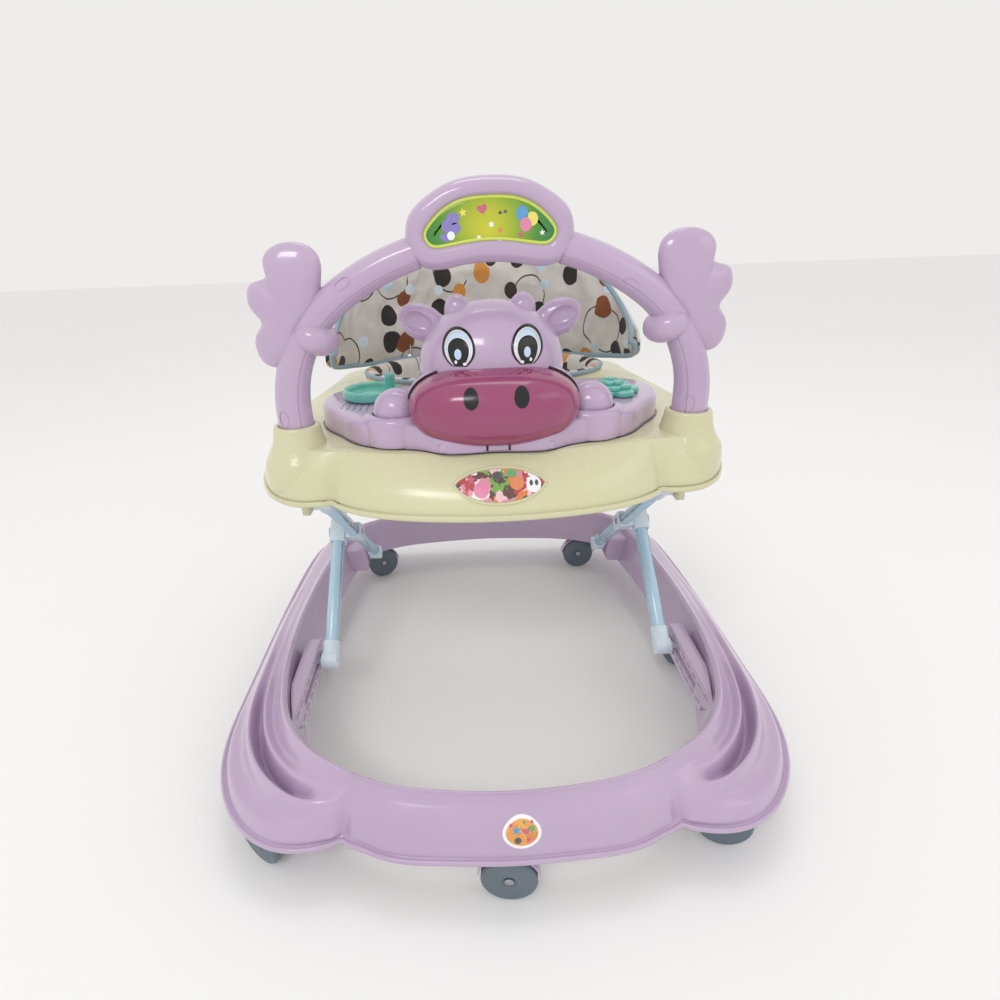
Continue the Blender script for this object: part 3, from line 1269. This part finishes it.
def lens_outline(half_x, half_z, count=96):
    pts = []
    for t in np.linspace(-1, 1, count // 2, endpoint=False):
        pts.append((t * half_x, -half_z * (1 - abs(t) ** 2.2) ** 0.75))
    for t in np.linspace(1, -1, count // 2, endpoint=False):
        pts.append((t * half_x, half_z * (1 - abs(t) ** 2.2) ** 0.75 * 0.8))
    return pts


LENS = moved(wall_of("tray_shell"), 1, 342)
lens = figure("lens_sticker", lens_outline(37, 12.0), LENS, TRAY_STICKER, "tray_sticker", thick=0.5)
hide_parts("tray_badge")
rim_line = []
for x, z in lens_outline(38.6, 13.6, 120):
    spot, normal = LENS(x, z)
    rim_line.append(spot + normal * 0.3)
add_tube("lens_rim", rim_line, 1.2, CREAM, TRAY, closed=True, sides=10)
for k, (outline, x, z, ink, thick) in enumerate((
        (disc(6.2, 5.6), 28, -1, "white", 0.7), (disc(1.5, 1.9), 26, 0, "black", 0.78),
        (disc(1.5, 1.9), 30.5, 0, "black", 0.78), (disc(6.4, 5.4), -16, -3.5, "pink", 0.7),
        (disc(6.0, 4.6), 14, 0.5, "orange", 0.7), (star(4), -24, 3.4, "red", 0.7),
        (disc(4.5, 2.6), 10, 6.6, "green", 0.7), (disc(4.6, 3.2), -2, 5.0, "black", 0.7))):
    figure(f"lens_mark_{k}", outline, moved(LENS, x, z), INKS[ink], "tray_sticker", thick=thick)


# ---------------------------------------------------------------- seat

# distance from the middle and height of the backrest's upper edge
BACK_TOP = ((0, 511), (60, 509), (106, 503), (132, 495), (152, 483), (166, 469), (178, 451),
            (185, 437), (190, 424), (195, 410))


def back_top(x):
    xs, zs = zip(*BACK_TOP)
    return float(smooth_line(xs, zs, [min(abs(x), 194.9)])[0])


def padded_back():
    """The quilted back: a closed pad, swollen between its two seams."""
    across, up = 150, 44
    ends = math.radians(-10)
    angles = np.linspace(ends, math.pi - ends, across)
    rx, ry, centre_y, thick = 187.0, 99.0, 108, 8.0
    seams = (math.radians(58), math.radians(122))
    inner, outer = [], []
    for j in range(up):
        v = j / (up - 1)
        row_in, row_out = [], []
        for i, a in enumerate(angles):
            x, y = rx * math.cos(a), centre_y + ry * math.sin(a)
            high = back_top(x)
            side = abs(math.cos(a))
            low = 379.5 + 4.0 * max(0.0, side - 0.85) / 0.15
            end = min(i, across - 1 - i) / (across * 0.15)
            round_end = math.sqrt(max(0.0, 1 - (1 - min(1.0, end)) ** 2))
            middle = 0.42 * high + 0.58 * low
            lo, hi = middle + (low - middle) * round_end, middle + (high - middle) * round_end
            z = lo + (hi - lo) * v
            edge = math.sqrt(max(0.0, 1 - (2 * v - 1) ** 4)) * min(1.0, end * 1.5 + 0.12)
            pinch = min(1.0, *(0.35 + abs(a - seam) / 0.16 for seam in seams))
            t = thick * 0.5 * edge * pinch
            nx, ny = math.cos(a) / rx, math.sin(a) / ry
            n = math.hypot(nx, ny)
            nx, ny = nx / n, ny / n
            lean = 1 - 0.03 * v ** 1.5
            crumple = (4.2 * noise.noise(Vector((x * 0.025, y * 0.025, z * 0.03)))
                       + 1.8 * noise.noise(Vector((x * 0.06, y * 0.06, z * 0.05)))) * edge
            cx = x * lean + nx * crumple
            cy = centre_y + (y - centre_y) * (1 - 0.05 * v ** 1.5) + ny * crumple
            row_in.append((cx - nx * (t + 0.6), cy - ny * (t + 0.6), z))
            row_out.append((cx + nx * (t + 0.6), cy + ny * (t + 0.6), z))
        inner.append(row_in)
        outer.append(row_out)
    inner, outer = np.array(inner), np.array(outer)
    sheet = np.concatenate([inner, outer[::-1]], 0)
    obj = add_grid("back_pad", sheet * MM, CLOTH, None, wrap_rows=True, wrap_columns=False)
    close_rings(obj)
    puff(obj, 7)
    lay_flat(obj)
    dress(obj, CLOTH, TRAY)
    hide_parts("seat_cover")
    # piping round the free edge
    middle = (inner + outer) / 2
    path = np.array([*middle[-1], *middle[::-1, -1][1:], *middle[0][::-1][1:], *middle[:, 0][1:-1]])
    for _ in range(6):
        path = (np.roll(path, 1, 0) + 2 * path + np.roll(path, -1, 0)) / 4
    keep = [path[0]]
    for p in path[1:]:
        if np.linalg.norm(p - keep[-1]) > 2.2:
            keep.append(p)
    add_tube("back_piping", keep, 3.2, PIPING, TRAY, closed=True)
    for k, seam in enumerate(seams):
        nearest = int(np.argmin(np.abs(angles - seam)))
        add_tube(f"back_seam_{k}", inner[2:-2, nearest], 0.9, CLOTH, TRAY, sides=8)


def puff(obj, cap):
    """Swells a pad by a short cloth simulation, held near its own shape."""
    reskin(obj, 3.6)
    apply_modifiers(obj)
    start = np.array([v.co for v in obj.data.vertices])
    cloth = obj.modifiers.new("Cloth", "CLOTH")
    cloth.settings.use_pressure = True
    cloth.settings.uniform_pressure_force = 3.0
    cloth.settings.effector_weights.gravity = 0
    cloth.settings.quality = 4
    cloth.settings.tension_stiffness = 20
    cloth.settings.compression_stiffness = 20
    cloth.settings.bending_stiffness = 0.6
    cloth.settings.shrink_min = -0.03
    scene = bpy.context.scene
    for k in range(1, 17):
        scene.frame_set(k)
    graph = bpy.context.evaluated_depsgraph_get()
    moved = np.array([v.co for v in obj.evaluated_get(graph).data.vertices])
    obj.modifiers.clear()
    step = moved - start
    size = np.linalg.norm(step, axis=1)[:, None]
    step = step * np.minimum(1.0, cap * MM / np.maximum(size, 1e-9))
    obj.data.vertices.foreach_set("co", (start + step).ravel())
    scene.frame_set(1)
    fine = obj.modifiers.new("fine", "SUBSURF")
    fine.levels = fine.render_levels = 1
    apply_modifiers(obj)


def lay_flat(obj, radius=140.0):
    """Flat cloth coordinates: distance round the seat, height, in metres."""
    layer = obj.data.uv_layers.new(name="flat")
    for loop in obj.data.loops:
        p = obj.data.vertices[loop.vertex_index].co / MM
        a = math.atan2((p.y - SEAT_Y) / 0.62, p.x)
        if a < -math.pi / 2:
            a += TAU
        layer.data[loop.index].uv = (a * radius * MM, p.z * MM)


def seat_sling():
    """The hammock: gathered cloth that hangs from the ring, with two leg holes."""
    angles = np.linspace(0, TAU, 200, endpoint=False)
    rows = []
    profile = ((8.5, 380.6), (4.5, 382.0), (0.5, 381.2), (-3.0, 377.5), (-5.0, 371), (-8.0, 355),
               (-13, 330), (-21, 300), (-30, 272), (-41, 246), (-54, 227), (-66, 218.5),
               (-74, 216.2))
    for j, (grow, z) in enumerate(profile):
        depth = j / (len(profile) - 1)
        gather = (math.sin(depth * math.pi) * 2.2 + 0.5)
        row = []
        for a in angles:
            pleat = gather * (0.6 * math.sin(31 * a + 2 * math.sin(3 * a)) + 0.4 * math.sin(17 * a))
            sag = 3.0 * noise.noise(Vector((math.cos(a) * 2.2, math.sin(a) * 2.2, z * 0.02)))
            rx = SEAT_X + grow * (1.0 if grow > -50 else 1.35) + pleat + sag * depth
            ry = SEAT_DEPTH + grow * (0.92 if grow > -40 else 0.9) + pleat * 0.7 + sag * depth
            row.append((max(rx, 8) * math.cos(a), SEAT_Y + max(ry, 5) * math.sin(a), z))
        rows.append(row)
    sling = add_grid("seat_sling", np.array(rows) * MM, CLOTH, None)
    bottom = bmesh.new()
    bottom.from_mesh(sling.data)
    edges = [e for e in bottom.edges if e.is_boundary and e.verts[0].co.z < 0.25]
    bmesh.ops.holes_fill(bottom, edges=edges, sides=0)
    bmesh.ops.triangulate(bottom, faces=[f for f in bottom.faces if len(f.verts) > 4])
    bottom.to_mesh(sling.data)
    bottom.free()
    thicken(sling, 3.4, 0.0)
    apply_modifiers(sling)
    cut(sling, [ball("leg_hole", (sign * 60, 60, 262), (38, 60, 33)) for _, sign in SIDES])
    lay_flat(sling)
    dress(sling, CLOTH, TRAY)
    edge_binding()


def edge_binding():
    """A bound edge along the upper rim of the sling."""
    path = ellipse(np.linspace(0, TAU, 160, endpoint=False), SEAT_X + 9.2, SEAT_DEPTH + 9.0)
    return add_tube("sling_binding", level(path, 380.2), 2.6, PIPING, TRAY, closed=True, sides=10)


padded_back()
seat_sling()


# ---------------------------------------------------------------- carried-over parts

CARRIED = {
    "height_rail_left": LILAC, "height_rail_right": LILAC, "rear_leg_caps": WHITE,
    "front_leg_caps": WHITE,
    "inner_cross_blocks": WHITE, "outer_cross_blocks": WHITE, "cross_pins": STEEL,
    "bracket_pins": STEEL,
    "toy_spindles": STEEL, "tray_brackets_left": CREAM, "tray_brackets_right": CREAM,
    "front_leg_tube_left": ENAMEL, "front_leg_tube_right": ENAMEL, "rear_leg_tube_left": ENAMEL,
    "rear_leg_tube_right": ENAMEL, "button_bellows": RUBBER, "circuit_board": BOARD, "speaker": SPEAKER,
    "batteries": BATTERY,
}
for name in STEMS:
    CARRIED[f"caster_wheel_{name}"] = WHEEL
    CARRIED[f"caster_axle_{name}"] = STEEL
for node, material in CARRIED.items():
    obj = dress(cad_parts[node], material)
    weld = obj.modifiers.new("weld", "WELD")
    weld.merge_threshold = 1e-5
    bevelled(obj, 0.6)


# ---------------------------------------------------------------- studio

def studio():
    scene = bpy.context.scene
    scene.view_settings.view_transform = "Standard"
    floor_mesh = bpy.data.meshes.new("floor")
    floor_mesh.from_pydata([(-9, -9, 0), (9, -9, 0), (9, 9, 0), (-9, 9, 0)], [], [(0, 1, 2, 3)])
    floor = new_object("floor", floor_mesh)
    paint = Shade("floor_paint")
    paint.colour(paint.mix(paint.noise(2.0, 3), lin("F4F4F4"), lin("F8F8F8")))
    paint.roughness(0.9)
    floor_mesh.materials.append(paint.mat)

    world = bpy.data.worlds.new("studio")
    scene.world = world
    world.use_nodes = True
    sky = world.node_tree.nodes["Background"]
    sky.inputs["Color"].default_value = (1.0, 0.985, 0.97, 1.0)
    sky.inputs["Strength"].default_value = 0.86

    lamps = (("key", (-0.7, -1.7, 2.0), 9, 0.8), ("fill", (1.6, -1.0, 1.7), 2, 1.4),
             ("top", (0.1, 0.4, 2.6), 6, 1.3))
    for name, place, power, size in lamps:
        data = bpy.data.lights.new(name, "AREA")
        data.energy = power
        data.shape = "RECTANGLE"
        data.size = size
        data.size_y = size * 0.5
        lamp = new_object(name, data)
        lamp.location = place
        lamp.rotation_mode = "QUATERNION"
        lamp.rotation_quaternion = (Vector((0, 0, 0.3)) - Vector(place)).to_track_quat("-Z", "Y")

    data = bpy.data.cameras.new("camera")
    camera = new_object("camera", data)
    data.sensor_width = 36
    data.lens = 20.85
    data.shift_x = 0.0255
    data.shift_y = 0.0095
    right = Vector((0.99942389, 0.00150439, -0.03390616))
    up = Vector((0.03001243, 0.42730201, 0.90361067))
    ahead = Vector((-0.01584755, 0.9041077, -0.42701069))
    turn = Matrix((right, up, -ahead)).transposed()
    swing = Matrix.Rotation(math.radians(-1.6), 4, "Z")
    camera.matrix_world = swing @ Matrix.Translation((-0.0083, -0.6277, 0.5304)) @ turn.to_4x4()
    scene.camera = camera


studio()
